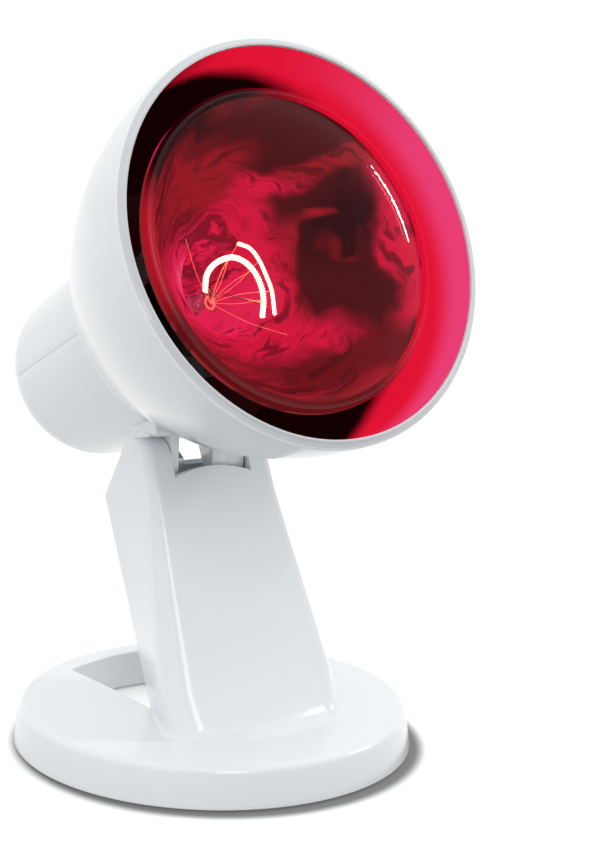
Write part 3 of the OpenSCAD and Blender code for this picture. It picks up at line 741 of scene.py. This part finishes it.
print("lamp")
lamp = {"radius": 60.6, "edge": 10, "apex": 60.2, "focus": 18.2, "neck": 54, "glass": 2.0, "rimBand": 57.6,
        "crown": 4.4, "dome": 4.6, "shoulder": 5, "edgeRound": 2.4, "skirt": 4,
        "neckOutside": [(19.6, 66), (19, 76), (17.8, 92), (17, 100), (15.2, 109), (13.6, 113), (11.4, 114.4)],
        "neckInside": [(11.4, 112), (13.4, 106), (15, 99), (16, 90), (17, 76), (17.6, 66)]}


def mirrorRadius(t):
    # a parabola that opens towards the face
    return math.sqrt(4 * lamp["focus"] * max(lamp["apex"] - t, 0))


def faceLine(radius, crown, dome, steps):
    # from the middle of the face to its shoulder, which turns down late
    return [(radius * k / steps, crown + dome * (k / steps) ** lamp["shoulder"]) for k in range(steps + 1)]


def buildLens():
    p = lamp
    radius, edge, rounding = p["radius"], p["edge"], p["edgeRound"]
    outer = faceLine(radius - rounding, p["crown"], p["dome"], 48)
    outer += [(radius - rounding + rounding * math.sin(a), edge + 1.2 - 2.2 * math.cos(a))
              for a in np.linspace(0.25, math.pi / 2, 7)]
    outer.append((radius, edge + 2))
    inner = faceLine(radius - p["skirt"], p["crown"] + p["glass"], p["dome"] - 0.4, 24)[::-1]
    return newPiece("lampFace", *revolved([(r, -t) for r, t in outer + inner], 200, closed=False),
                    space=headSpace, sharp=50)


def buildReflector():
    p = lamp
    radius, edge, neck = p["radius"], p["edge"], p["neck"]
    outside = [(radius, edge + 2.05), (radius, edge + 4)]
    outside += [(mirrorRadius(t) + 2.2, t) for t in np.linspace(edge + 7, neck, 26)]
    outside += [(21.5, neck + 4), *p["neckOutside"]]
    inside = [*p["neckInside"], (19, neck + 4)]
    inside += [(mirrorRadius(t), t) for t in np.linspace(neck - 0.5, edge + 3.5, 40)]
    inside.append((radius - 3.4, edge + 2.05))
    return newPiece("lampBowl", *revolved([(r, -t) for r, t in outside + inside], 200),
                    space=headSpace, sharp=40)


def rubyFace():
    f = Finish("rubyFace")
    swirl = f.noise(18, 2)
    return f.done(f.shader(colour=f.mix(swirl, (0.94, 0.29, 0.39), (0.96, 0.31, 0.41)),
                           rough=0.015 + 0.02 * swirl, clear=1.0, ior=1.24,
                           specular=0.4, tint=(0.8, 0.38, 0.44),
                           normal=f.bump(f.noise(60, 1), 0.02, 0.0004)))


# tones of the painted light, painted reflection and painted shade on the bowl
bowlPaintedTones = {"black": (0.003, 0.0, 0.0), "dark": (0.045, 0.005, 0.006), "deep": (0.13, 0.01, 0.012),
             "streak": (0.42, 0.03, 0.05), "lowEdge": (0.24, 0.02, 0.02), "mid": (0.30, 0.02, 0.03),
             "red": (0.66, 0.015, 0.10), "hot": (0.92, 0.08, 0.30), "pink": (1.1, 0.9, 1.0)}
# where light and shade are painted on the bowl, in mm: x, y, half width, half height, softness, tone
bowlPaintedPatches = [(8, 48, 44, 12, 0.4, "dark"), (-36, 46, 18, 12, 0.5, "black"), (-12, 35, 18, 11, 0.5, "mid"),
               (-33, -10, 14, 20, 0.5, "mid"), (-50, 12, 5, 28, 0.5, "red"), (-46, 34, 4, 12, 0.5, "red"),
               (30, -36, 30, 12, 0.5, "deep"), (55, 0, 6, 40, 0.5, "red"), (35, 12, 17, 24, 0.2, "dark"),
               (40, -14, 11, 14, 0.3, "dark"), (41, 15, 11, 15, 0.5, "black"), (26, 12, 2.5, 9, 0.6, "mid"),
               (33, 22, 5, 2, 0.6, "mid"), (36, 8, 2, 5, 0.6, "deep"), (43, 3, 6, 1.6, 0.6, "deep"),
               (14, 33, 14, 5, 0.4, "red"), (34, 38, 14, 4, 0.5, "mid"),
               (6, 18, 14, 12, 0.5, "red"), (14, 0, 11, 22, 0.4, "red"), (12, -24, 24, 9, 0.4, "red"),
               (-8, -3, 24, 20, 0.5, "red"), (-6, -2, 18, 14, 0.8, "hot"), (-7, -1, 9, 8, 0.8, "pink")]


def spot(f, x, y, cx, cy, rx, ry, soft):
    # 1 inside an oval and 0 outside it
    dx, dy = (x - cx) / rx, (y - cy) / ry
    return 1 - f.remap((dx * dx + dy * dy) ** 0.5, 1 - soft, 1 + soft)


def bowlPaintedLight():
    # the mirrored bowl with the glowing filament's reflection and the light through the ruby glass painted on
    # as a glow over a near-black base
    f = Finish("bowlPaintedLight")
    place = f.place()
    warp = f.add("ShaderNodeTexNoise", None, {"Vector": place, "Scale": 34, "Detail": 3, "Roughness": 0.55},
                 out="Color")
    shift = f.add("ShaderNodeVectorMath", {"operation": "SUBTRACT"}, {0: warp, 1: (0.5, 0.5, 0.5)})
    scaled = f.add("ShaderNodeVectorMath", {"operation": "SCALE"}, {0: shift, "Scale": 0.022})
    bent = f.add("ShaderNodeVectorMath", {"operation": "ADD"}, {0: place, 1: scaled})
    x, y = (1000 * v for v in f.axes(bent)[:2])
    reach = (x * x + y * y + 1) ** 0.5
    ringPlace = f.add("ShaderNodeCombineXYZ", None, {0: 1.5 * x / reach, 1: 1.5 * y / reach, 2: 0.26 * reach})
    rings = f.noise(1, 4, 0.6, vector=ringPlace, distortion=0.6)  # painted reflection: long streaks round the axis
    colour = f.mix(f.remap(rings, 0.35, 0.65), bowlPaintedTones["dark"], bowlPaintedTones["streak"])
    edgePaintedLight = f.mix(f.remap(x + 0.3 * y, -5, 42), bowlPaintedTones["lowEdge"], bowlPaintedTones["red"])
    colour = f.mix(f.remap(reach, 50, 57), colour, edgePaintedLight)
    for *oval, tone in bowlPaintedPatches:
        share = spot(f, x, y, *oval)
        if tone in ("red", "mid"):
            share = share * (0.55 + 0.9 * f.remap(rings, 0.3, 0.7))
        colour = f.mix(share, colour, bowlPaintedTones[tone])
    colour = f.mix(0.75 * f.remap(rings, 0.53, 0.62), colour, bowlPaintedTones["dark"])
    fine = f.noise(70, 3)
    return f.done(f.shader(colour=(0.012, 0.001, 0.001), rough=0.2 + 0.1 * fine, glow=colour,
                           glowStrength=1.0, specular=0.03, normal=f.bump(fine, 0.1, 0.0005)))


def rubyRimPaintedLight():
    # the thick edge of the face: painted light, bright on the right, and painted shade, nearly black on the
    # upper left
    f = Finish("rubyRimPaintedLight")
    x, y = (1000 * v for v in f.axes(f.place())[:2])
    cloud = f.noise(60, 2)
    right = f.remap(x + 0.25 * y + 10 * (cloud - 0.5), 5, 48)
    tone = f.mix(f.remap(y - 0.25 * x, 8, 40), (0.11, 0.005, 0.007), (0.006, 0.0, 0.0))
    tone = f.mix(spot(f, x, y, -60, 2, 10, 22, 0.6), tone, (0.42, 0.006, 0.02))
    return f.done(f.shader(colour=(0.02, 0.001, 0.002), rough=0.12 + 0.08 * cloud, specular=0.2,
                           glow=f.mix(right, tone, (0.70, 0.006, 0.035)), glowStrength=1.0))


def darkMirror():
    # the outside of the bowl, which shows only past the edge of the face
    f = Finish("darkMirror")
    cloud = f.noise(90, 2)
    return f.done(f.shader(colour=f.mix(cloud, (0.010, 0.001, 0.001), (0.022, 0.002, 0.003)), metal=0.7,
                           rough=0.25 + 0.1 * cloud, specular=0.2))


lampFace = finished(buildLens(), rubyFace(), "lamp", ["lamp_lens"])
lampFace.data.materials.append(rubyRimPaintedLight())
lampBowl = finished(buildReflector(), bowlPaintedLight(), "lamp", ["lamp_reflector"])
lampBowl.data.materials.append(darkMirror())
# the faces past the rim band take the edge's painted light and shade
for face in lampFace.data.polygons:
    if math.hypot(face.center.x, face.center.y) / mm > lamp["rimBand"]:
        face.material_index = 1
for face in lampBowl.data.polygons:
    if face.normal.z < 0:  # the bowl's outside
        face.material_index = 1

print("filament")
filament = {"wire": 0.34, "coil": 0.7, "strength": 14.0, "supportPaintedGlow": 0.8, "depth": 42, "turns": 46,
            "imageTurns": 34, "imageCoil": 0.49, "imageWire": 0.272, "supportWire": 0.1, "loopWire": 0.4,
            "loopCentre": (-19, -10.5), "loopWide": 1.8, "loopTall": 2.2}


def coiled(name, route, turns, coil, wire):
    # a wire wound round a smooth route
    lengths = np.r_[0, np.cumsum([(b - a).length for a, b in zip(route, route[1:])])]
    line = np.array([tuple(p) for p in route])

    def at(s):
        return Vector([np.interp(s, lengths, line[:, k]) for k in range(3)])

    points, count = [], turns * 10
    for i in range(count + 1):
        s = lengths[-1] * i / count
        along = (at(min(s + 0.2, lengths[-1])) - at(max(s - 0.2, 0))).normalized()
        u = along.cross(Vector((0, 0, 1))).normalized()
        v = along.cross(u)
        a = 2 * math.pi * turns * i / count
        points.append(at(s) + coil * (math.cos(a) * u + math.sin(a) * v))
    return tube(name, points, wire, 6)


def glowing(name, colour, strength):
    f = Finish(name)
    heat = f.noise(200, 1)
    return f.done(f.shader(colour=(0.9, 0.6, 0.3), rough=0.4, glow=f.mix(heat, colour, (1.0, 0.86, 0.45)),
                           glowStrength=strength))


def smoothRoute(points, steps=8):
    # a smooth curve through given points
    line = [Vector(p) for p in points]
    line = [2 * line[0] - line[1], *line, 2 * line[-1] - line[-2]]
    route = []
    for a, b, c, d in zip(line, line[1:], line[2:], line[3:]):
        for k in range(steps):
            u = k / steps
            route.append(0.5 * (2 * b + (c - a) * u + (2 * a - 5 * b + 4 * c - d) * u * u
                                + (3 * b - a - 3 * c + d) * u ** 3))
    return route + [line[-2]]


hot = glowing("whiteHotWire", (1.0, 0.72, 0.25), filament["strength"])
# the support wires glow faintly red though they are no lamp: painted light
supportGlow = glowing("supportWirePaintedGlow", (0.9, 0.16, 0.20), filament["supportPaintedGlow"])
coilPath = [(-20, -6), (-18, 0), (-13.5, 4.3), (-7, 6.5), (-2, 5.6), (2.5, 1.6), (4.7, -4.3), (4.7, -10),
            (2.5, -17)]
imagePath = [(-1.5, 12), (3.5, 10), (6.5, 5.4), (8.3, -0.5), (9.5, -7), (8.7, -16)]  # a glowing coil where the filament's reflection in the mirror shows: a painted reflection
leadEnds = [(12, -24), (-24, 14)]


def inLamp(x, y, back=0.0):
    return Vector((x, y, -filament["depth"] - back))


def wireTo(name, end, bend):
    # a thin, slightly bent wire from the loop to a point
    start = inLamp(*filament["loopCentre"])
    side = Vector((-(end - start).y, (end - start).x, 0)) * 0.04 * bend
    return tube(name, smoothRoute([start, (start + end) / 2 + side, end], 6), filament["supportWire"], 6)


coil = coiled("filamentCoil", smoothRoute([inLamp(*p) for p in coilPath]), filament["turns"],
              filament["coil"], filament["wire"])
# a second glowing coil stands for the filament's reflection in the mirror: a painted reflection
filamentReflection = coiled("filamentReflectionCoil", smoothRoute([inLamp(*p, 0.5) for p in imagePath]), filament["imageTurns"],
               filament["imageCoil"], filament["imageWire"])
for piece in (coil, filamentReflection):
    finished(piece, hot, "lamp", ["lamp_filament"])
loopX, loopY = filament["loopCentre"]
ring = [inLamp(loopX + filament["loopWide"] * math.cos(a), loopY + filament["loopTall"] * math.sin(a))
        for a in np.linspace(math.radians(100), math.radians(400), 24)]
supports = [tube("supportLoop", ring, filament["loopWire"], 8)]
for k, held in enumerate(coilPath[1::2] + imagePath[::2] + leadEnds):
    supports.append(wireTo("supportWire%d" % k, inLamp(*held), (-1) ** k))
for piece in supports:
    finished(piece, supportGlow, "lamp", ["lamp_filament_supports"])

print("finishes")  # of the parts that keep their CAD mesh
nodeFinish = {
    "white_moulding": white,
    "white_shade": white,
    "grey_plate": plainFinish("greyPlate", (0.055, 0.058, 0.063), 0.62, grainScale=1400, grainDepth=0.25),
    "ballast_steel": plainFinish("primedSteel", (0.09, 0.092, 0.097), 0.5, metal=0.2),
    "foot_rubber": plainFinish("footRubber", (0.022, 0.022, 0.024), 0.78, grainScale=1800, grainDepth=0.2),
    "inlet_rubber": plainFinish("inletRubber", (0.62, 0.63, 0.64), 0.55, grainScale=1500),
    "terminal_plastic": plainFinish("terminalPlastic", (0.70, 0.66, 0.52), 0.42),
    "zinc_steel": plainFinish("zincSteel", (0.60, 0.61, 0.63), 0.32, metal=1.0, grainScale=500),
    "bracket_steel": brushedFinish("bracketSteel", (0.56, 0.57, 0.58), 0.36),
    "brass": plainFinish("brassParts", (0.72, 0.50, 0.20), 0.28, metal=1.0, grainScale=600),
    "lead_sleeving": plainFinish("leadSleeving", (0.74, 0.70, 0.60), 0.8, grainScale=2400, grainDepth=0.5),
    "friction_fibre": plainFinish("frictionFibre", (0.16, 0.12, 0.08), 0.85, grainScale=1100, grainDepth=0.4),
    "holder_ceramic": plainFinish("glazedCeramic", (0.82, 0.80, 0.75), 0.16, coat=0.5),
    "cap_brass": plainFinish("capBrass", (0.74, 0.53, 0.24), 0.25, metal=1.0, grainScale=500),
    "cap_vitrite": plainFinish("blackGlass", (0.012, 0.01, 0.016), 0.12),
    "cap_solder": plainFinish("solder", (0.58, 0.58, 0.59), 0.3, metal=1.0, grainScale=400, grainDepth=0.3),
    "stem_glass": plainFinish("stemGlass", (0.85, 0.88, 0.88), 0.05, clear=0.8, ior=1.5),
    "lamp_wire": plainFinish("nickelWire", (0.60, 0.55, 0.50), 0.3, metal=1.0),
}
slotOf = {part["node"]: part["material_slot"] for part in frame["record"]["subparts"]}
for name, node in nodes.items():
    if slotOf[name] in nodeFinish:
        node.data.materials.clear()
        node.data.materials.append(nodeFinish[slotOf[name]])
        node.data.shade_smooth()
        node.data.set_sharp_from_angle(angle=math.radians(32))

print("studio")  # floor, air, lights and camera
studio = {"bright": 1.0, "dim": 0.70, "dimSide": (0.20, -0.98, 0.0), "under": 0.58, "over": 1.22,
          "floor": (0.96, 0.96, 0.96), "reach": 40, "floorGlow": 0.08, "shadow": 0.16,
          "shadowShift": (0.0008, -0.0030), "shadowEdge": (0.0772, 0.0832)}


def paleFloor():
    # white paper with a painted shadow close to the base
    f = Finish("paleFloor")
    grain = f.noise(14, 3)
    pale = f.mix(grain, (0.95, 0.95, 0.95), studio["floor"])
    x, y = f.axes(f.place())[:2]
    dx, dy = x - studio["shadowShift"][0], y - studio["shadowShift"][1]
    outside = f.remap((dx * dx + dy * dy) ** 0.5, *studio["shadowEdge"])
    underRim = f.remap((x * x + y * y) ** 0.5, 0.070, 0.074)
    paintedShadowMask = (1 - outside) * underRim  # the tight shadow painted on the floor towards the front of the base
    return f.done(f.shader(colour=f.mix(paintedShadowMask, pale, (studio["shadow"],) * 3), rough=0.9, specular=0.0,
                           glow=(1.0, 1.0, 1.0), glowStrength=studio["floorGlow"]))


floorMesh = bpy.data.meshes.new("floor")
reach = studio["reach"]
floorMesh.from_pydata([(-reach, -reach, 0), (reach, -reach, 0), (reach, reach, 0), (-reach, reach, 0)], [],
                      [(0, 1, 2, 3)])
floorMesh.materials.append(paleFloor())
floor = bpy.data.objects.new("floor", floorMesh)
bpy.context.scene.collection.objects.link(floor)
floor.visible_diffuse = False  # so the undersides get the dimmer air below instead of a white bounce

world = bpy.data.worlds.new("studioAir")
bpy.context.scene.world = world
world.use_nodes = True
air = Nodes(world.node_tree)
toward = air.add("ShaderNodeTexCoord", out="Generated")
facing = air.add("ShaderNodeVectorMath", {"operation": "DOT_PRODUCT"}, {0: toward, 1: studio["dimSide"]},
                 out="Value")
height = air.axes(toward)[2]
around = air.remap(facing, -0.15, 0.85, studio["bright"], studio["dim"])  # darker on the front right
below = air.remap(height, -0.35, 0.0, studio["under"], 1.0)
above = air.remap(height, 0.15, 0.9, 1.0, studio["over"])
background = world.node_tree.nodes["Background"]
air.feed(background.inputs["Strength"], around * below * above)
air.feed(background.inputs["Color"], (1.0, 1.0, 1.0, 1))


def softLight(name, place, aim, width, height, power, lean=(0, 0, 1)):
    # a rectangle whose height runs along lean
    data = bpy.data.lights.new(name, "AREA")
    data.shape, data.size, data.size_y, data.energy = "RECTANGLE", width, height, power
    light = bpy.data.objects.new(name, data)
    back = (Vector(place) - Vector(aim)).normalized()
    tall = (Vector(lean) - back * back.dot(Vector(lean))).normalized()
    light.matrix_world = Matrix((tall.cross(back), tall, back)).transposed().to_4x4()
    light.location = place
    bpy.context.scene.collection.objects.link(light)


lights = {"leftSoftbox": {"place": (-1.5, -0.9, 0.6), "aim": (0, 0, 0.12),
                          "width": 0.5, "height": 1.2, "power": 0.7},
          "frontCard": {"place": (-0.5, -1.3, 0.95), "aim": (0, 0, 0.10),
                        "width": 0.45, "height": 0.9, "power": 4}}
for name, values in lights.items():
    softLight(name, **values)
streak = {"place": Vector((1.312, -0.421, 0.919)), "aim": (0.045, -0.04, 0.214), "lean": (-0.38, 0.38, 0.84),
          "length": 0.34, "width": 0.009, "pitch": 0.019, "power": 1.5}
streakSide = Vector(streak["lean"]).cross(streak["place"] - Vector(streak["aim"])).normalized()
for k in (-1, 0, 1):  # three bars, as in a window's reflection
    softLight("streakBar%d" % (k + 2), streak["place"] + k * streak["pitch"] * streakSide, streak["aim"],
              streak["width"], streak["length"] * (1 - 0.2 * abs(k)), streak["power"], streak["lean"])

view = {"place": (-0.3751, -0.5649, 0.2522), "right": (0.8107, -0.5840, 0.0403),
        "forward": (0.5805, 0.7931, -0.1847), "lens": 75.52, "sensor": 36}
forward = Vector(view["forward"]).normalized()
up = Vector(view["right"]).normalized().cross(forward).normalized()
right = forward.cross(up).normalized()
cameraData = bpy.data.cameras.new("camera")
cameraData.lens, cameraData.sensor_width, cameraData.sensor_fit = view["lens"], view["sensor"], "AUTO"
camera = bpy.data.objects.new("camera", cameraData)
camera.matrix_world = Matrix((right, up, -forward)).transposed().to_4x4()
camera.location = view["place"]
bpy.context.scene.collection.objects.link(camera)
bpy.context.scene.camera = camera
bpy.context.scene.view_settings.view_transform = "Standard"

print("closing")
